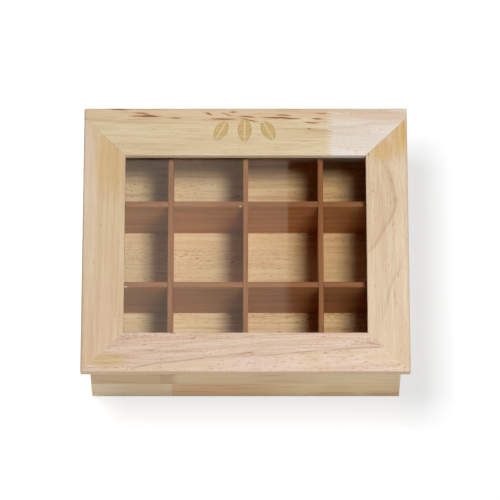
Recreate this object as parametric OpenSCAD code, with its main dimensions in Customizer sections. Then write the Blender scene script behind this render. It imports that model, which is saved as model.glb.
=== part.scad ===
// Tea bag organizer box: a wooden box with twelve compartments and a hinged lid with a clear window.
// The box stands on the XY plane, its front faces -Y, and the origin is the middle of its footprint.
// All sizes are in millimetres.

/* [Lid] */
// Width of the lid, side to side
lid_w = 330; // [290:1:380]
// Depth of the lid, front to back
lid_d = 292; // [260:1:340]
// Thickness of the lid frame
lid_t = 8; // [7:0.5:12]
// Width of the side stiles and of the front rail
frame_w = 42.5; // [34:0.5:50]
// Width of the rear rail, which is wider than the rest of the frame
rear_rail_w = 53.5; // [50:0.5:62]
// How far the rear mitres run in from the window before they stop in a short butt joint
rear_mitre = 40; // [30:0.5:44]
// Radius on the upper outside edges of the lid
lid_round = 2; // [1:0.25:3]
// Radius on the lower outside edges of the lid and along the window
lid_ease = 0.8; // [0.4:0.1:1.2]

/* [Window] */
// Thickness of the clear pane
pane_t = 2; // [1.5:0.25:3]
// Width of the rebate that holds the pane, under the frame
rebate_w = 5; // [3:0.5:8]
// Clearance round the pane, on each side
pane_gap = 0.25; // [0.1:0.05:0.5]

/* [Joinery of the lid] */
// Place of the finger joint in the rear rail, to the right of the middle
finger_x = 86; // [60:1:110]
// Length of the fingers
finger_len = 6; // [4:0.5:9]
// Number of fingers across the rail
finger_count = 17; // [8:1:18]
// Width of a finger's blunt tip
finger_tip = 0.5; // [0.3:0.1:1.2]
// Thickness of the loose tongues in the mitres
tongue_t = 2.4; // [1.5:0.1:3]
// Width of the loose tongues, half of it on each side of the mitre
tongue_w = 12; // [8:1:16]
// Length of the loose tongues, along the mitre
tongue_len = 34; // [24:1:40]

/* [Box] */
// Height of the walls
wall_h = 79.8; // [66:0.2:100]
// Thickness of the walls
wall_t = 6; // [5:0.5:9]
// How far the lid stands out past the walls, on all four sides
overhang = 9; // [7:0.5:12]
// Depth of the rebates at the ends of the front and rear walls
corner_rebate = 2.5; // [1.5:0.5:3.5]
// Radius on the upright outside corners and along the foot of the walls
wall_ease = 1; // [0.5:0.1:1.5]
// Thickness of the bottom panel
panel_t = 4; // [3:0.5:6]
// Height of the bottom panel above the surface that the box stands on
panel_lift = 2.6; // [2:0.2:5]
// Depth of the groove for the bottom panel
groove_d = 3; // [2:0.5:4]

/* [Dividers] */
// Thickness of the long dividers, which run front to back
long_t = 5.2; // [4:0.2:7]
// Thickness of the cross dividers, which run side to side
cross_t = 6; // [4:0.2:7]
// Height of the dividers above the bottom panel
divider_h = 66.8; // [50:0.2:70]
// Depth of the grooves that hold the dividers' ends
housing_d = 1.5; // [1:0.5:2.5]
// Clearance across a divider in its groove and in the halving joints
divider_gap = 0.2; // [0.1:0.05:0.4]
// Radius along the upper edges of the dividers
divider_ease = 0.8; // [0.4:0.1:1.2]

/* [Hinges] */
// Distance of each hinge's middle from the middle of the box
hinge_x = 105; // [70:1:120]
// Length of a hinge, along its pin
hinge_len = 25; // [20:1:40]
// Thickness of the hinge leaves
leaf_t = 1; // [0.8:0.1:1.2]
// Width of the hinge leaves, from the pin outwards
leaf_w = 15; // [12:0.5:18]
// Radius of the hinge pin
pin_r = 1; // [0.8:0.1:1.3]
// Clearance of the lid's knuckles round the pin, on the radius
pin_gap = 0.05; // [0.03:0.01:0.1]
// Clearance between two knuckles, along the pin
knuckle_gap = 0.2; // [0.1:0.05:0.4]
// Number of knuckles on a hinge
knuckles = 5; // [5:2:7]

/* [Fasteners] */
// Radius of the hinge screws' shanks
screw_r = 1; // [0.8:0.1:1.2]
// Radius of the hinge screws' heads
screw_head_r = 1.9; // [1.6:0.1:2.2]
// Length of the hinge screws below the leaf
screw_len = 4.5; // [3:0.25:4.75]
// Distance between the two screws of a leaf
screw_pitch = 14; // [10:0.5:18]
// Radius of the brads in the corners
brad_r = 0.6; // [0.4:0.1:0.8]
// Length of the brads
brad_len = 20; // [14:1:25]
// Height of the lower brads above the surface that the box stands on
brad_low = 11; // [10:1:20]
// Height of the upper brads
brad_high = 62; // [40:1:64]

/* [Hidden] */
$fn = 48;
// Overlap of a cutting shape past the face that it cuts
cut = 1;
// Numbers of compartments, side to side and front to back
columns = 4;
rows = 3;

// Outside of the walls and inside of the walls, as half sizes
box_x = lid_w / 2 - overhang;
box_y = lid_d / 2 - overhang;
in_x = box_x - wall_t;
in_y = box_y - wall_t;

// Heights of the lid's underside, the lid's top and the bottom panel's top
lid_z = wall_h + 0.2;
top_z = lid_z + lid_t;
floor_z = panel_lift + panel_t;

// Edges of the window, and the corners where the rear mitres stop
win_x = lid_w / 2 - frame_w;
win_front = -lid_d / 2 + frame_w;
win_rear = lid_d / 2 - rear_rail_w;
stop_x = win_x + rear_mitre;
stop_y = win_rear + rear_mitre;

// Centres of the dividers
column_w = (2 * in_x - (columns - 1) * long_t) / columns;
row_d = (2 * in_y - (rows - 1) * cross_t) / rows;
function long_x(i) = -in_x + (i + 1) * column_w + (i + 0.5) * long_t;
function cross_y(i) = -in_y + (i + 1) * row_d + (i + 0.5) * cross_t;

// Hinge axis: the box leaf lies on the rear wall, and the lid leaf lies flush in the lid's underside
knuckle_r = pin_r + leaf_t;
axis_y = box_y + knuckle_r;
axis_z = lid_z - pin_r;
knuckle_w = hinge_len / knuckles;
// Distance of the screws from the pin
screw_out = leaf_w * 0.62;
// Clearance of a knuckle from the wood and from the other leaf
knuckle_clear = 0.3;

// A square corner of side r with a quarter circle taken out, to round a corner of an outline
module corner(r) {
    difference() {
        translate([-cut, -cut]) square(r + cut);
        translate([r, r]) circle(r);
    }
}

// Outline of a slab w wide and h high, standing on the X axis, with its upper and lower corners rounded
module slab_outline(w, h, upper, lower) {
    difference() {
        translate([-w / 2, 0]) square([w, h]);
        for (side = [0, 1]) mirror([side, 0]) {
            translate([-w / 2, 0]) corner(lower);
            translate([-w / 2, h]) mirror([0, 1]) corner(upper);
        }
    }
}

// Outline of a rectangle with its four corners rounded
module footprint(w, d, r) {
    difference() {
        square([w, d], center = true);
        for (mx = [0, 1], my = [0, 1]) mirror([mx, 0]) mirror([0, my])
            translate([-w / 2, -d / 2]) corner(r);
    }
}

// Extrudes an outline drawn in X and Z along Y, and one drawn in Y and Z along X
module along_y(len) rotate([90, 0, 0]) linear_extrude(len, center = true) children();
module along_x(len) rotate([90, 0, 90]) linear_extrude(len, center = true) children();

// A solid slab with rounded edges all round, standing on the XY plane
module eased_slab(w, d, h, upper, lower, upright) {
    intersection() {
        along_y(d + 2 * cut) slab_outline(w, h, upper, lower);
        along_x(w + 2 * cut) slab_outline(d, h, upper, lower);
        linear_extrude(h) footprint(w, d, upright);
    }
}

module lid_blank()
    translate([0, 0, lid_z]) eased_slab(lid_w, lid_d, lid_t, lid_round, lid_ease, lid_round);

module box_blank() eased_slab(2 * box_x, 2 * box_y, wall_h, wall_ease / 2, wall_ease, wall_ease);

// The window, its rebate for the pane, and the eased edge along its top
module window_cut() {
    w = 2 * win_x;
    d = win_rear - win_front;
    translate([0, (win_front + win_rear) / 2, 0]) {
        translate([-w / 2, -d / 2, lid_z - cut]) cube([w, d, lid_t + 2 * cut]);
        translate([-w / 2 - rebate_w, -d / 2 - rebate_w, lid_z - cut])
            cube([w + 2 * rebate_w, d + 2 * rebate_w, pane_t + cut]);
        for (side = [-1, 1]) {
            translate([side * w / 2, 0, top_z]) along_y(d + 2 * lid_ease)
                rotate(side > 0 ? -90 : 180) window_edge();
            translate([0, side * d / 2, top_z]) along_x(w + 2 * lid_ease)
                rotate(side > 0 ? -90 : 180) window_edge();
        }
    }
}

// The sliver that comes off the window's upper edge, seen along the edge
module window_edge() {
    difference() {
        translate([-cut / 2, -cut / 2]) square(lid_ease + cut / 2);
        translate([lid_ease, lid_ease]) circle(lid_ease);
    }
}

// Shallow seats in the lid's underside for the hinge leaves and their knuckles
module lid_hinge_seats() {
    for (side = [-1, 1]) translate([side * hinge_x, 0, lid_z]) {
        translate([-hinge_len / 2, axis_y - leaf_w, -cut])
            cube([hinge_len, leaf_w, leaf_t + cut]);
        translate([-hinge_len / 2 - cut, axis_y - knuckle_r - knuckle_clear, -cut])
            cube([hinge_len + 2 * cut, 2 * (knuckle_r + knuckle_clear), leaf_t + knuckle_clear + cut]);
    }
}

// Place its children at the two screws of each leaf, with Z pointing out of the screw's head
module at_lid_screws() {
    for (side = [-1, 1], s = [-1, 1])
        translate([side * hinge_x + s * screw_pitch / 2, axis_y - screw_out, lid_z])
            mirror([0, 0, 1]) children();
}

module at_box_screws() {
    for (side = [-1, 1], s = [-1, 1])
        translate([side * hinge_x + s * screw_pitch / 2, box_y + leaf_t, axis_z - screw_out])
            rotate([-90, 0, 0]) children();
}

// Footprints of the lid's pieces: mitres at 45 degrees, stopped short of the edge at the rear
module front_rail_area() polygon([
    [-lid_w / 2, -lid_d / 2], [lid_w / 2, -lid_d / 2], [win_x, win_front], [-win_x, win_front]
]);

module rear_rail_area() polygon([
    [-lid_w / 2, lid_d / 2], [-lid_w / 2, stop_y], [-stop_x, stop_y], [-win_x, win_rear],
    [win_x, win_rear], [stop_x, stop_y], [lid_w / 2, stop_y], [lid_w / 2, lid_d / 2]
]);

module right_stile_area() polygon([
    [lid_w / 2, -lid_d / 2], [lid_w / 2, stop_y], [stop_x, stop_y], [win_x, win_rear],
    [win_x, win_front]
]);

// Line of the finger joint, from the window to the rear edge, as blunt fingers
finger_pitch = (rear_rail_w + 2 * cut) / finger_count;
function finger_line() = [
    for (i = [0 : finger_count - 1], c = [0 : 3])
        let (
            start = win_rear - cut + i * finger_pitch,
            slope = finger_pitch / 2 - finger_tip,
            along = [0, finger_tip, finger_tip + slope, 2 * finger_tip + slope],
            reach = [0, 0, 1, 1]
        )
        [finger_x + (reach[c] - 0.5) * finger_len, start + along[c]]
];

// Everything to the right of the finger joint
module rail_end_area() polygon(concat(
    finger_line(),
    [[finger_x, lid_d / 2 + cut], [lid_w, lid_d / 2 + cut], [lid_w, win_rear - cut]]
));

// Places its children at the middle of a mitre, with X along the mitre
module at_front_mitre()
    translate([(lid_w / 2 + win_x) / 2, (win_front - lid_d / 2) / 2, lid_z + lid_t / 2])
        rotate(-45) children();

module at_rear_mitre()
    translate([(stop_x + win_x) / 2, (stop_y + win_rear) / 2, lid_z + lid_t / 2])
        rotate(45) children();

// Tongues with rounded ends, in the middle of the frame's thickness
module tongues() {
    for (side = [0, 1]) mirror([side, 0, 0]) {
        at_front_mitre() tongue();
        at_rear_mitre() tongue();
    }
}

module tongue() {
    straight = tongue_len - tongue_w;
    linear_extrude(tongue_t, center = true) {
        square([straight, tongue_w], center = true);
        for (end = [-1, 1]) translate([end * straight / 2, 0]) circle(tongue_w / 2);
    }
}

module lid_piece() {
    difference() {
        intersection() {
            lid_blank();
            translate([0, 0, lid_z - cut]) linear_extrude(lid_t + 2 * cut) children();
        }
        window_cut();
        tongues();
    }
}

module lid_front_rail() color("#d8bf9c") lid_piece() front_rail_area();

module lid_left_stile() color("#cfb795") lid_piece() mirror([1, 0]) right_stile_area();

module lid_right_stile() color("#dcc5a2") lid_piece() right_stile_area();

module lid_rear_rail() color("#d9c8a8") difference() {
    lid_piece() difference() {
        rear_rail_area();
        rail_end_area();
    }
    lid_hinge_seats();
    at_lid_screws() screw_hole();
}

module lid_rear_rail_end() color("#e5dacd") difference() {
    lid_piece() intersection() {
        rear_rail_area();
        rail_end_area();
    }
    lid_hinge_seats();
    at_lid_screws() screw_hole();
}

module lid_mitre_tongues() color("#b99a72") tongues();

module window_pane() color("#dfe8ea", 0.3)
    translate([0, (win_front + win_rear) / 2, lid_z]) linear_extrude(pane_t) footprint(
        2 * (win_x + rebate_w - pane_gap), win_rear - win_front + 2 * (rebate_w - pane_gap), 1
    );

// The bottom panel, grown by g on each side where it cuts its groove
module panel(g) {
    x = in_x + groove_d - 0.2 + g;
    y = in_y + groove_d - 0.2 + g;
    translate([-x, -y, panel_lift]) cube([2 * x, 2 * y, panel_t]);
}

module bottom_panel() color("#d8b892") panel(0);

// Grooves for the dividers' ends, open at the top of the walls
module housings() {
    for (i = [0 : columns - 2])
        translate([long_x(i) - (long_t + divider_gap) / 2, -in_y - housing_d, floor_z])
            cube([long_t + divider_gap, 2 * (in_y + housing_d), wall_h]);
    for (i = [0 : rows - 2])
        translate([-in_x - housing_d, cross_y(i) - (cross_t + divider_gap) / 2, floor_z])
            cube([2 * (in_x + housing_d), cross_t + divider_gap, wall_h]);
}

// Places its children at each brad, with Z pointing out of the wall
module at_brads() {
    for (mx = [0, 1], my = [0, 1], z = [brad_low, brad_high]) mirror([mx, 0, 0]) mirror([0, my, 0])
        translate([-box_x + wall_t / 2, -box_y + 0.4, z]) rotate([90, 0, 0]) children();
}

// A brad with a small head, driven just below the face of the wall
module brad() {
    translate([0, 0, -brad_len]) cylinder(h = brad_len, r = brad_r);
    translate([0, 0, -brad_r]) cylinder(h = brad_r, r1 = brad_r, r2 = brad_r * 1.4);
}

module brad_hole() {
    brad();
    cylinder(h = 2, r = brad_r * 1.4);
}

module wall_brads() color("#6e655c") at_brads() brad();

// A front or rear wall, as long as the box, with a rebate at each end for the side wall
module end_wall() {
    difference() {
        intersection() {
            box_blank();
            translate([-box_x, -box_y, 0]) cube([2 * box_x, wall_t, wall_h]);
        }
        for (side = [-1, 1])
            translate([side * (in_x + wall_t / 2 + cut / 2), -in_y, wall_h / 2])
                cube([wall_t + cut, 2 * corner_rebate, wall_h + 2 * cut], center = true);
        panel(0.2);
        housings();
        at_brads() brad_hole();
    }
}

module front_wall() color("#c3a884") end_wall();

module rear_wall() color("#cdb28d") difference() {
    mirror([0, 1, 0]) end_wall();
    at_box_screws() screw_hole();
}

// A side wall, which fits into the rebates of the front and rear walls
module side_wall() {
    y = in_y + corner_rebate;
    difference() {
        intersection() {
            box_blank();
            translate([-box_x, -y, 0]) cube([wall_t, 2 * y, wall_h]);
        }
        panel(0.2);
        housings();
        at_brads() brad_hole();
    }
}

module left_wall() color("#c9ad88") side_wall();

module right_wall() color("#cbb08b") mirror([1, 0, 0]) side_wall();

// A divider seen from its end, with its upper edges eased
module divider_outline(t) slab_outline(t, divider_h, divider_ease, 0.3);

// A long divider, notched from below where the cross dividers pass under it
module long_divider(i) {
    translate([long_x(i), 0, floor_z]) difference() {
        along_y(2 * (in_y + housing_d - 0.2)) divider_outline(long_t);
        for (j = [0 : rows - 2])
            translate([-long_t, cross_y(j) - (cross_t + divider_gap) / 2, -cut])
                cube([2 * long_t, cross_t + divider_gap, divider_h / 2 + cut]);
    }
}

module long_divider_left() color("#95623f") long_divider(0);

module long_divider_middle() color("#9a6744") long_divider(1);

module long_divider_right() color("#925f3c") long_divider(2);

// A cross divider, notched from above for the long dividers
module cross_divider(i) {
    translate([0, cross_y(i), floor_z]) difference() {
        along_x(2 * (in_x + housing_d - 0.2)) divider_outline(cross_t);
        for (j = [0 : columns - 2])
            translate([long_x(j) - (long_t + divider_gap) / 2, -cross_t, divider_h / 2])
                cube([long_t + divider_gap, 2 * cross_t, divider_h]);
    }
}

module cross_divider_front() color("#8f5c3a") cross_divider(0);

module cross_divider_rear() color("#8c5936") cross_divider(1);

// Countersunk head, shank and point, with the top of the head at z = 0 and the point at -Z
module screw_form() {
    head_h = screw_head_r - screw_r;
    length = leaf_t + screw_len;
    translate([0, 0, -head_h]) cylinder(h = head_h, r1 = screw_r, r2 = screw_head_r);
    translate([0, 0, screw_r - length]) cylinder(h = length - screw_r - head_h, r = screw_r);
    translate([0, 0, -length]) cylinder(h = screw_r, r1 = 0.2, r2 = screw_r);
}

// A screw with a straight slot across its head
module screw() {
    difference() {
        screw_form();
        cube([2 * screw_head_r + cut, 0.5, 0.9], center = true);
    }
}

// The hole that the screw fills, open above its head
module screw_hole() {
    screw_form();
    cylinder(h = cut, r = screw_head_r);
}

module box_hinge_screws() color("#c9a44e") at_box_screws() screw();

module lid_hinge_screws() color("#c9a44e") at_lid_screws() screw();

// The knuckles from first on, every second one, along X about the hinge axis
module knuckle_row(first, bore_r) {
    for (k = [first : 2 : knuckles - 1])
        translate([-hinge_len / 2 + k * knuckle_w + knuckle_gap / 2, 0, 0]) rotate([0, 90, 0])
            difference() {
                cylinder(h = knuckle_w - knuckle_gap, r = knuckle_r);
                translate([0, 0, -cut]) cylinder(h = knuckle_w + cut, r = bore_r);
            }
}

// Room for the other leaf's knuckles, cut out of a leaf's edge
module knuckle_gaps(first) {
    reach = knuckle_r + knuckle_clear;
    for (k = [first : 2 : knuckles - 1])
        translate([-hinge_len / 2 + k * knuckle_w - knuckle_gap / 2, -reach, -reach])
            cube([knuckle_w + knuckle_gap, 2 * reach, 2 * reach]);
}

// A leaf seen flat on, hanging down from the pin, with rounded lower corners
module leaf_plate() {
    difference() {
        translate([-hinge_len / 2, -leaf_w]) square([hinge_len, leaf_w]);
        for (side = [0, 1]) mirror([side, 0]) translate([-hinge_len / 2, -leaf_w]) corner(2);
    }
}

// Box leaf: its plate hangs down the rear wall from the first, third and fifth knuckles
module box_leaf(side) {
    difference() {
        translate([side * hinge_x, axis_y, axis_z]) {
            knuckle_row(0, pin_r);
            difference() {
                translate([0, -pin_r, 0]) rotate([90, 0, 0]) linear_extrude(leaf_t) leaf_plate();
                knuckle_gaps(1);
            }
        }
        at_box_screws() screw_hole();
    }
}

// Lid leaf: its plate lies in the lid's underside, forward of the second and fourth knuckles
module lid_leaf(side) {
    difference() {
        translate([side * hinge_x, axis_y, axis_z]) {
            knuckle_row(1, pin_r + pin_gap);
            difference() {
                translate([0, 0, pin_r + pin_gap]) linear_extrude(leaf_t - pin_gap) leaf_plate();
                knuckle_gaps(0);
            }
        }
        at_lid_screws() screw_hole();
    }
}

// Hinge pin with domed ends, fixed in the box leaf
module hinge_pin(side) {
    translate([side * hinge_x, axis_y, axis_z]) rotate([0, 90, 0])
        rotate_extrude() difference() {
            translate([0, -hinge_len / 2 - 0.5]) square([pin_r, hinge_len + 1]);
            for (end = [0, 1]) mirror([0, end]) translate([pin_r, -hinge_len / 2 - 0.5])
                mirror([1, 0]) corner(0.5);
        }
}

module left_hinge_box_leaf() color("#caa651") box_leaf(-1);

module right_hinge_box_leaf() color("#caa651") box_leaf(1);

module left_hinge_lid_leaf() color("#caa651") lid_leaf(-1);

module right_hinge_lid_leaf() color("#caa651") lid_leaf(1);

module left_hinge_pin() color("#b8933f") hinge_pin(-1);

module right_hinge_pin() color("#b8933f") hinge_pin(1);

front_wall();
rear_wall();
left_wall();
right_wall();
bottom_panel();
long_divider_left();
long_divider_middle();
long_divider_right();
cross_divider_front();
cross_divider_rear();
wall_brads();
left_hinge_box_leaf();
right_hinge_box_leaf();
left_hinge_pin();
right_hinge_pin();
box_hinge_screws();
lid_front_rail();
lid_rear_rail();
lid_rear_rail_end();
lid_left_stile();
lid_right_stile();
lid_mitre_tongues();
window_pane();
left_hinge_lid_leaf();
right_hinge_lid_leaf();
lid_hinge_screws();
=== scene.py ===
"""Looks of the tea bag organizer box: woods, clear pane and brass, lit by soft studio light."""

import math

import bpy
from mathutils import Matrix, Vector


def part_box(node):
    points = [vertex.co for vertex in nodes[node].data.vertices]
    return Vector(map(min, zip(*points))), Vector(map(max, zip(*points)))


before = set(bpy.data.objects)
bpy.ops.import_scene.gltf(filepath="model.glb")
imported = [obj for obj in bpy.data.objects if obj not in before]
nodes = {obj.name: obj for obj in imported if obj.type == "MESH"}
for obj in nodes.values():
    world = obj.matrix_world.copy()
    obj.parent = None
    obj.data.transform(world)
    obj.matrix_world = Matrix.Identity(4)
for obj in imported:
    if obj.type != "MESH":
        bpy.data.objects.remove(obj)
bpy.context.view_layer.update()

# A millimetre, in the frame's metres
MM = 0.001


def centre_of(node):
    low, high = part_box(node)
    return (low + high) / 2


# The lid's right and rear edges and its top, and the edges of the window in it
LID_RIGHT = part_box("lid_right_stile")[1].x
LID_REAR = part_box("lid_rear_rail")[1].y
LID_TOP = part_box("lid_rear_rail")[1].z
WINDOW_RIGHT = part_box("lid_right_stile")[0].x
WINDOW_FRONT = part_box("lid_front_rail")[1].y
WINDOW_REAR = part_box("lid_rear_rail")[0].y

# The middle of a side wall's thickness and of the rear wall's, and the tops of the walls and of the dividers
SIDE_WALL_MIDDLE = centre_of("right_wall").x
REAR_WALL_MIDDLE = centre_of("rear_wall").y
WALL_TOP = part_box("rear_wall")[1].z
DIVIDER_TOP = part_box("cross_divider_rear")[1].z

# Camera: the photograph's view from above the front, through a long lens. The picture is FRAME_PX points
# wide, and the camera looks down at LOOK_DOWN degrees from CAMERA_AWAY metres
FRAME_PX = 500
SENSOR_MM = 36.0
LOOK_DOWN = 66.0
CAMERA_AWAY = 4.5
PX_PER_MM = 0.9903
AIM = Vector((4.5 * MM, -13.2 * MM, LID_TOP))


def make_camera():
    """The camera looks along +Y and down, and the lid's top spans PX_PER_MM picture points a millimetre."""
    data = bpy.data.cameras.new("camera")
    data.sensor_width = SENSOR_MM
    data.lens = SENSOR_MM * PX_PER_MM / MM * CAMERA_AWAY / FRAME_PX
    data.clip_start = 0.1
    data.clip_end = 50.0
    camera = bpy.data.objects.new("camera", data)
    bpy.context.scene.collection.objects.link(camera)
    down = math.radians(LOOK_DOWN)
    back = Vector((0.0, -math.cos(down), math.sin(down)))
    camera.location = AIM + back * CAMERA_AWAY
    camera.rotation_mode = "QUATERNION"
    camera.rotation_quaternion = (-back).to_track_quat("-Z", "Y")
    bpy.context.scene.camera = camera


def give(node, material):
    """Puts material in every slot of a CAD node."""
    mesh = nodes[node].data
    mesh.materials.clear()
    mesh.materials.append(material)


def linear(rgb):
    """An sRGB colour in 0 to 255 as the linear colour that a shader takes."""
    parts = [c / 255 for c in rgb]
    return [c / 12.92 if c <= 0.04045 else ((c + 0.055) / 1.055) ** 2.4 for c in parts]


class Tree:
    """A material's node tree, with one short call for each kind of node. A value is a number, a colour or the
    output socket of another node."""

    def __init__(self, name):
        self.material = bpy.data.materials.new(name)
        self.material.use_nodes = True
        self.tree = self.material.node_tree
        self.tree.nodes.clear()
        self.output = self.tree.nodes.new("ShaderNodeOutputMaterial")

    def set(self, socket, value):
        """Links value to socket if it is a socket, and otherwise writes it there."""
        if isinstance(value, bpy.types.NodeSocket):
            self.tree.links.new(value, socket)
        elif socket.type == "RGBA":
            socket.default_value = (*value[:3], 1.0)
        else:
            socket.default_value = value

    def node(self, kind, **settings):
        made = self.tree.nodes.new(kind)
        for key, value in settings.items():
            setattr(made, key, value)
        return made

    def math(self, operation, a, b=0.0, c=0.0, clamp=False):
        made = self.node("ShaderNodeMath", operation=operation, use_clamp=clamp)
        for socket, value in zip(made.inputs, (a, b, c)):
            self.set(socket, value)
        return made.outputs[0]

    def add(self, a, b):
        return self.math("ADD", a, b)

    def sub(self, a, b):
        return self.math("SUBTRACT", a, b)

    def mul(self, a, b):
        return self.math("MULTIPLY", a, b)

    def vector(self, x, y, z):
        made = self.node("ShaderNodeCombineXYZ")
        for socket, value in zip(made.inputs, (x, y, z)):
            self.set(socket, value)
        return made.outputs[0]

    def fade(self, value, low, high, start=0.0, end=1.0):
        """start where value is at low or less, end where it is at high or more, and smooth between."""
        made = self.node("ShaderNodeMapRange", interpolation_type="SMOOTHSTEP")
        for socket, number in zip(made.inputs, (value, low, high, start, end)):
            self.set(socket, number)
        return made.outputs[0]

    def noise(self, vector, scale=1.0, detail=2.0, rough=0.5, twist=0.0):
        made = self.node("ShaderNodeTexNoise", noise_dimensions="3D")
        self.set(made.inputs["Vector"], vector)
        self.set(made.inputs["Scale"], scale)
        self.set(made.inputs["Detail"], detail)
        self.set(made.inputs["Roughness"], rough)
        self.set(made.inputs["Distortion"], twist)
        return made.outputs["Fac"]

    def curve(self, value, places):
        """A smooth curve through places, each (value, height), and level beyond its ends."""
        low, high = places[0][0], places[-1][0]
        least, most = min(h for _, h in places), max(h for _, h in places)
        made = self.node("ShaderNodeFloatCurve")
        line = made.mapping.curves[0]
        spots = [((v - low) / (high - low), (h - least) / (most - least)) for v, h in places]
        line.points[0].location, line.points[1].location = spots[0], spots[-1]
        for spot in spots[1:-1]:
            line.points.new(*spot)
        made.mapping.update()
        share = self.math("DIVIDE", self.sub(value, low), high - low, clamp=True)
        self.set(made.inputs["Value"], share)
        return self.add(self.mul(made.outputs[0], most - least), least)

    def mix(self, share, a, b, blend="MIX"):
        made = self.node("ShaderNodeMix", data_type="RGBA", blend_type=blend)
        for socket, value in zip((made.inputs[0], made.inputs[6], made.inputs[7]), (share, a, b)):
            self.set(socket, value)
        return made.outputs[2]

    def tinted(self, colour, tint):
        """colour as it looks through a film of the sRGB colour tint."""
        return self.mix(1.0, colour, linear(tint), "MULTIPLY")

    def principled(self, **inputs):
        made = self.node("ShaderNodeBsdfPrincipled")
        for key, value in inputs.items():
            self.set(made.inputs[key.replace("_", " ")], value)
        return made

    def bump(self, height, depth, strength=1.0):
        made = self.node("ShaderNodeBump")
        self.set(made.inputs["Strength"], strength)
        self.set(made.inputs["Distance"], depth)
        self.set(made.inputs["Height"], height)
        return made.outputs[0]

    def finish(self, shader):
        self.tree.links.new(shader.outputs[0], self.output.inputs["Surface"])
        return self.material


# The axes of a board, as 0, 1 and 2 for X, Y and Z: along the grain, across it, and through its thickness
GRAIN_ALONG_X = (0, 1, 2)
GRAIN_ALONG_Y = (1, 0, 2)
GRAIN_ALONG_X_UPRIGHT = (0, 2, 1)
GRAIN_ALONG_Y_UPRIGHT = (1, 2, 0)


class Board:
    """One board's own solid texture space, in metres: u along its grain, v across it and w through it."""

    def __init__(self, tree, axes, centre, seed, turn=0.0):
        self.tree = t = tree
        point = t.node("ShaderNodeTexCoord").outputs["Object"]
        split = t.node("ShaderNodeSeparateXYZ")
        t.set(split.inputs[0], point)
        self.x, self.y, self.z = split.outputs
        own = [t.sub(split.outputs[axis], centre[axis]) for axis in axes]
        # A board is rarely cut true to its grain, so the grain crosses it at a small angle
        self.u = t.add(own[0], t.mul(own[1], math.tan(turn)))
        self.v = t.sub(own[1], t.mul(own[0], math.tan(turn)))
        self.w = own[2]
        self.seed = seed

    def stretched(self, along, across, shift=0.0):
        """Texture space with that many units a metre along and across the grain."""
        t = self.tree
        offset = self.seed * 7.31 + shift
        return t.vector(
            t.add(t.mul(self.u, along), offset),
            t.add(t.mul(self.v, across), offset * 1.7),
            t.add(t.mul(self.w, across), offset * 2.3),
        )

    def rings(self, pith, gap, lean, wander):
        """Growth rings about the pith: 0 to 1 through each ring, wavy along the board."""
        t = self.tree
        sway = t.mul(t.sub(t.noise(self.stretched(7.0, 16.0, 3.0), detail=3.0), 0.5), wander)
        waver = t.mul(t.sub(t.noise(self.stretched(30.0, 90.0, 9.0), detail=2.0), 0.5), wander * 0.2)
        v = t.sub(self.v, pith[0])
        w = t.sub(t.sub(self.w, pith[1]), t.mul(self.u, lean))
        radius = t.math("SQRT", t.add(t.mul(v, v), t.mul(w, w)))
        return t.math("FRACT", t.math("DIVIDE", t.add(radius, t.add(sway, waver)), gap))

    def patch(self, spots, rise=None, grain=(14.0, 60.0, 21.0), ragged=1.3):
        """1 inside ellipses with soft ragged edges. Each is (x, y, half width, half depth) in millimetres,
        and rise is the second axis where that isn't y."""
        t = self.tree
        wander = t.mul(t.sub(t.noise(self.stretched(*grain), detail=4.0), 0.5), ragged)
        total = 0.0
        for x, y, half_x, half_y in spots:
            dx = t.math("DIVIDE", t.sub(self.x, x * MM), half_x * MM)
            dy = t.math("DIVIDE", t.sub(rise or self.y, y * MM), half_y * MM)
            far = t.add(t.math("SQRT", t.add(t.mul(dx, dx), t.mul(dy, dy))), wander)
            total = t.math("MAXIMUM", total, t.fade(far, 0.5, 1.5, 1.0, 0.0))
        return total

    def dashes(self, along, across, amount, shift):
        """Short marks along the grain. amount is about the share of the surface that they cover."""
        t = self.tree
        fine = t.noise(self.stretched(along, across, shift), detail=1.0, rough=0.5)
        # Almost none of the noise is above 0.76, and more of it the lower the level is
        level = t.sub(0.76, t.mul(amount, 3.0))
        return t.fade(t.sub(fine, level), 0.0, 0.05)

    def lanes(self, along, across, shift, low, high, detail=3.0, rough=0.6):
        """0 to 1 in long soft lanes along the grain, which start at low and are full at high."""
        t = self.tree
        return t.fade(t.noise(self.stretched(along, across, shift), detail=detail, rough=rough), low, high)


# How strongly each trait shows in a board: broad clouds, growth rings, fibres and open pores
CALM = dict(clouds=0.60, rings=0.16, fibres=0.50, pores=0.014, pore_depth=0.55)
PLAIN = dict(clouds=0.80, rings=0.30, fibres=0.65, pores=0.026, pore_depth=0.70)
LIVELY = dict(clouds=0.85, rings=0.40, fibres=0.72, pores=0.040, pore_depth=0.85)

# Growth rings: the pith's place across and through the board, then the rings' gap, lean and wander, in metres
FLAT_RINGS = ((0.02, -0.09), 0.0062, 0.05, 0.012)

# Overlay colours of the dark and the pale fibres, linear, the tint of the pores, and the depth of the bump
FIBRE_DARK, FIBRE_LIGHT = (0.385, 0.365, 0.345), (0.60, 0.605, 0.61)
PORE_TINT = (190, 146, 112)
GRAIN_DEPTH = 0.16 * MM


def growth_rings(t, board, rings):
    """Each ring darkens slowly and ends in a thin dark line, here strong and there faint."""
    ring = board.rings(*rings)
    end = t.fade(ring, 0.92, 1.0, 1.0, 0.0)
    slow = t.mul(t.fade(ring, 0.2, 0.9), end)
    line = t.mul(t.fade(ring, 0.78, 0.90), end)
    uneven = board.lanes(5.0, 45.0, 5.0, 0.35, 0.68, detail=2.0, rough=0.5)
    return t.mul(t.add(t.mul(slow, 0.45), t.mul(line, 0.55)), uneven)


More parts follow.
